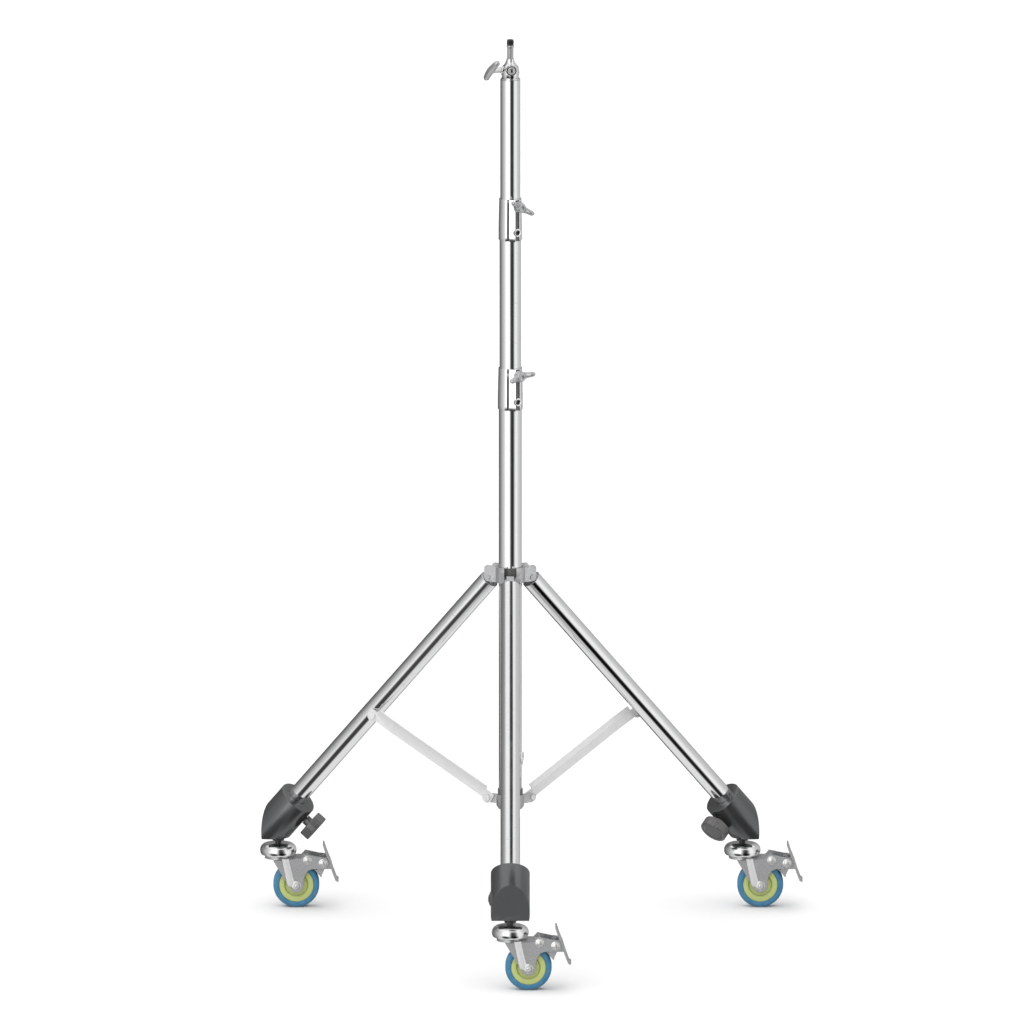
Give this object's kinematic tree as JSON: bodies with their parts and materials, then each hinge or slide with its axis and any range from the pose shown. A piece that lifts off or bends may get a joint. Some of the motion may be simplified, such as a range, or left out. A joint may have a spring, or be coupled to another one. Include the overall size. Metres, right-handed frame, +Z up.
{
  "type": "roller stand for lights",
  "caption": "Chromed stand for a film light: a column of telescoping risers with wing-bolt clamps and a stud on top, on folding braced legs with braked swivel casters.",
  "frame": {"origin": "on the floor under the middle of the stand's own box; the column stands behind and to the left of it, because one leg points to the front and every caster trails to the right", "axes": "+Z up along the column, towards the stud; the front leg points along -Y; the wheels roll along X, their pedals on the +X side"},
  "size_m": [0.8833, 0.718, 1.4763],
  "materials": {
    "chromed_tube": "polished",
    "chromed_casting": "polished",
    "cast_alloy": "satin",
    "black_block": "satin",
    "black_plastic": "matte",
    "black_steel": "satin",
    "bright_pin": "bright",
    "pale_strip": "satin",
    "zinc_steel": "bright zinc",
    "tread": "matte",
    "core": "semi-gloss"
  },
  "bodies": {
    "column": {"column_tube": "chromed_tube", "column_plug": "black_plastic", "column_clamp": "chromed_casting", "column_clamp_screw": "black_steel", "lower_collar": "cast_alloy", "collar_bush": "black_plastic", "collar_pins": "bright_pin"},
    "wing_lower": {"wing_bolt_lower": "chromed_casting"},
    "riser_lower": {"riser_lower_tube": "chromed_tube", "riser_lower_bush": "black_plastic", "riser_clamp": "chromed_casting", "riser_clamp_screw": "black_steel"},
    "wing_upper": {"wing_bolt_upper": "chromed_casting"},
    "riser_upper": {"riser_upper_tube": "chromed_tube", "riser_upper_bush": "black_plastic", "head_casting": "chromed_casting", "head_screw": "black_steel", "stud": "chromed_casting", "stud_tip": "black_steel"},
    "handle": {"head_handle": "chromed_casting"},
    "hub": {"leg_hub": "cast_alloy", "hub_liner": "black_plastic", "hub_pins": "bright_pin"},
    "hub_lock": {"hub_knob": "black_plastic"},
    "leg_left": {"leg_tube_left": "chromed_tube", "leg_knuckle_left": "cast_alloy", "foot_block_left": "black_block", "caster_stem_left": "black_steel", "swivel_cup_left": "chromed_casting"},
    "foot_lock_left": {"foot_knob_left": "black_plastic"},
    "stay_left": {"brace_left": "pale_strip"},
    "swivel_left": {"fork_left": "zinc_steel", "caster_bolts_left": "zinc_steel"},
    "wheel_left": {"tyre_left": "tread", "wheel_core_left": "core"},
    "pedal_left": {"brake_pedal_left": "zinc_steel"},
    "leg_right": {"leg_tube_right": "chromed_tube", "leg_knuckle_right": "cast_alloy", "foot_block_right": "black_block", "caster_stem_right": "black_steel", "swivel_cup_right": "chromed_casting"},
    "foot_lock_right": {"foot_knob_right": "black_plastic"},
    "stay_right": {"brace_right": "pale_strip"},
    "swivel_right": {"fork_right": "zinc_steel", "caster_bolts_right": "zinc_steel"},
    "wheel_right": {"tyre_right": "tread", "wheel_core_right": "core"},
    "pedal_right": {"brake_pedal_right": "zinc_steel"},
    "leg_front": {"leg_tube_front": "chromed_tube", "leg_knuckle_front": "cast_alloy", "foot_block_front": "black_block", "caster_stem_front": "black_steel", "swivel_cup_front": "chromed_casting"},
    "foot_lock_front": {"foot_knob_front": "black_plastic"},
    "stay_front": {"brace_front": "pale_strip"},
    "swivel_front": {"fork_front": "zinc_steel", "caster_bolts_front": "zinc_steel"},
    "wheel_front": {"tyre_front": "tread", "wheel_core_front": "core"},
    "pedal_front": {"brake_pedal_front": "zinc_steel"}
  },
  "joints": [
    {"name": "riser_lower_slide", "type": "slide", "parent": "column", "child": "riser_lower", "axis": [0, 0, 1], "range_m": [-0.205, 0.31]},
    {"name": "riser_upper_slide", "type": "slide", "parent": "riser_lower", "child": "riser_upper", "axis": [0, 0, 1], "range_m": [-0.19, 0.33]},
    {"name": "wing_lower_turn", "type": "hinge", "parent": "column", "child": "wing_lower", "pos_m": [-0.01928, 0.08089, 0.926], "axis": [0.5, -0.866, 0], "range_deg": [0, 360]},
    {"name": "wing_upper_turn", "type": "hinge", "parent": "riser_lower", "child": "wing_upper", "pos_m": [-0.01928, 0.08089, 1.205], "axis": [0.5, -0.866, 0], "range_deg": [0, 360]},
    {"name": "handle_turn", "type": "hinge", "parent": "riser_upper", "child": "handle", "pos_m": [-0.05745, 0.09751, 1.4273], "axis": [-0.9272, -0.3746, 0], "range_deg": [0, 360]},
    {"name": "hub_slide", "type": "slide", "parent": "column", "child": "hub", "axis": [0, 0, 1], "range_m": [0, 0.1944]},
    {"name": "hub_knob_turn", "type": "hinge", "parent": "hub", "child": "hub_lock", "pos_m": [-0.03427, 0.14187, 0.59525], "axis": [0, 1, 0], "range_deg": [0, 360]},
    {"name": "leg_fold_left", "type": "hinge", "parent": "hub", "child": "leg_left", "pos_m": [-0.06337, 0.12367, 0.589], "axis": [-0.5, -0.866, 0], "range_deg": [0, 32.3]},
    {"name": "stay_fold_left", "type": "hinge", "parent": "column", "child": "stay_left", "pos_m": [-0.06935, 0.12712, 0.2222], "axis": [0.5, 0.866, 0], "range_deg": [0, 51.02]},
    {"name": "foot_knob_turn_left", "type": "hinge", "parent": "leg_left", "child": "foot_lock_left", "pos_m": [-0.35614, 0.30667, 0.13772], "axis": [0.7425, -0.1493, -0.653], "range_deg": [0, 360]},
    {"name": "caster_swivel_left", "type": "hinge", "parent": "leg_left", "child": "swivel_left", "pos_m": [-0.41186, 0.32487, 0.087], "axis": [0, 0, 1], "continuous": true},
    {"name": "wheel_spin_left", "type": "hinge", "parent": "swivel_left", "child": "wheel_left", "pos_m": [-0.38256, 0.32487, 0.0375], "axis": [0, 1, 0], "continuous": true},
    {"name": "pedal_press_left", "type": "hinge", "parent": "swivel_left", "child": "pedal_left", "pos_m": [-0.33936, 0.32487, 0.0751], "axis": [0, 1, 0], "range_deg": [0, 12]},
    {"name": "leg_fold_right", "type": "hinge", "parent": "hub", "child": "leg_right", "pos_m": [-0.00518, 0.12367, 0.589], "axis": [-0.5, 0.866, 0], "range_deg": [0, 32.3]},
    {"name": "stay_fold_right", "type": "hinge", "parent": "column", "child": "stay_right", "pos_m": [0.0008, 0.12712, 0.2222], "axis": [0.5, -0.866, 0], "range_deg": [0, 51.02]},
    {"name": "foot_knob_turn_right", "type": "hinge", "parent": "leg_right", "child": "foot_lock_right", "pos_m": [0.29969, 0.28572, 0.13772], "axis": [-0.5006, -0.5683, -0.653], "range_deg": [0, 360]},
    {"name": "caster_swivel_right", "type": "hinge", "parent": "leg_right", "child": "swivel_right", "pos_m": [0.34331, 0.32487, 0.087], "axis": [0, 0, 1], "continuous": true},
    {"name": "wheel_spin_right", "type": "hinge", "parent": "swivel_right", "child": "wheel_right", "pos_m": [0.37261, 0.32487, 0.0375], "axis": [0, 1, 0], "continuous": true},
    {"name": "pedal_press_right", "type": "hinge", "parent": "swivel_right", "child": "pedal_right", "pos_m": [0.41581, 0.32487, 0.0751], "axis": [0, 1, 0], "range_deg": [0, 12]},
    {"name": "leg_fold_front", "type": "hinge", "parent": "hub", "child": "leg_front", "pos_m": [-0.03427, 0.07327, 0.589], "axis": [1, 0, 0], "range_deg": [0, 32.3]},
    {"name": "stay_fold_front", "type": "hinge", "parent": "column", "child": "stay_front", "pos_m": [-0.03427, 0.06637, 0.2222], "axis": [-1, 0, 0], "range_deg": [0, 51.02]},
    {"name": "foot_knob_turn_front", "type": "hinge", "parent": "leg_front", "child": "foot_lock_front", "pos_m": [-0.04637, -0.27177, 0.13772], "axis": [-0.2419, 0.7177, -0.653], "range_deg": [0, 360]},
    {"name": "caster_swivel_front", "type": "hinge", "parent": "leg_front", "child": "swivel_front", "pos_m": [-0.03427, -0.32912, 0.087], "axis": [0, 0, 1], "continuous": true},
    {"name": "wheel_spin_front", "type": "hinge", "parent": "swivel_front", "child": "wheel_front", "pos_m": [-0.00498, -0.32912, 0.0375], "axis": [0, 1, 0], "continuous": true},
    {"name": "pedal_press_front", "type": "hinge", "parent": "swivel_front", "child": "pedal_front", "pos_m": [0.03823, -0.32912, 0.0751], "axis": [0, 1, 0], "range_deg": [0, 12]}
  ],
  "couplings": [
    {"joint": "leg_fold_left", "follows": "hub_slide", "rad_per_m": 2.8999},
    {"joint": "stay_fold_left", "follows": "hub_slide", "rad_per_m": 4.5804},
    {"joint": "leg_fold_right", "follows": "hub_slide", "rad_per_m": 2.8999},
    {"joint": "stay_fold_right", "follows": "hub_slide", "rad_per_m": 4.5804},
    {"joint": "leg_fold_front", "follows": "hub_slide", "rad_per_m": 2.8999},
    {"joint": "stay_fold_front", "follows": "hub_slide", "rad_per_m": 4.5804}
  ]
}
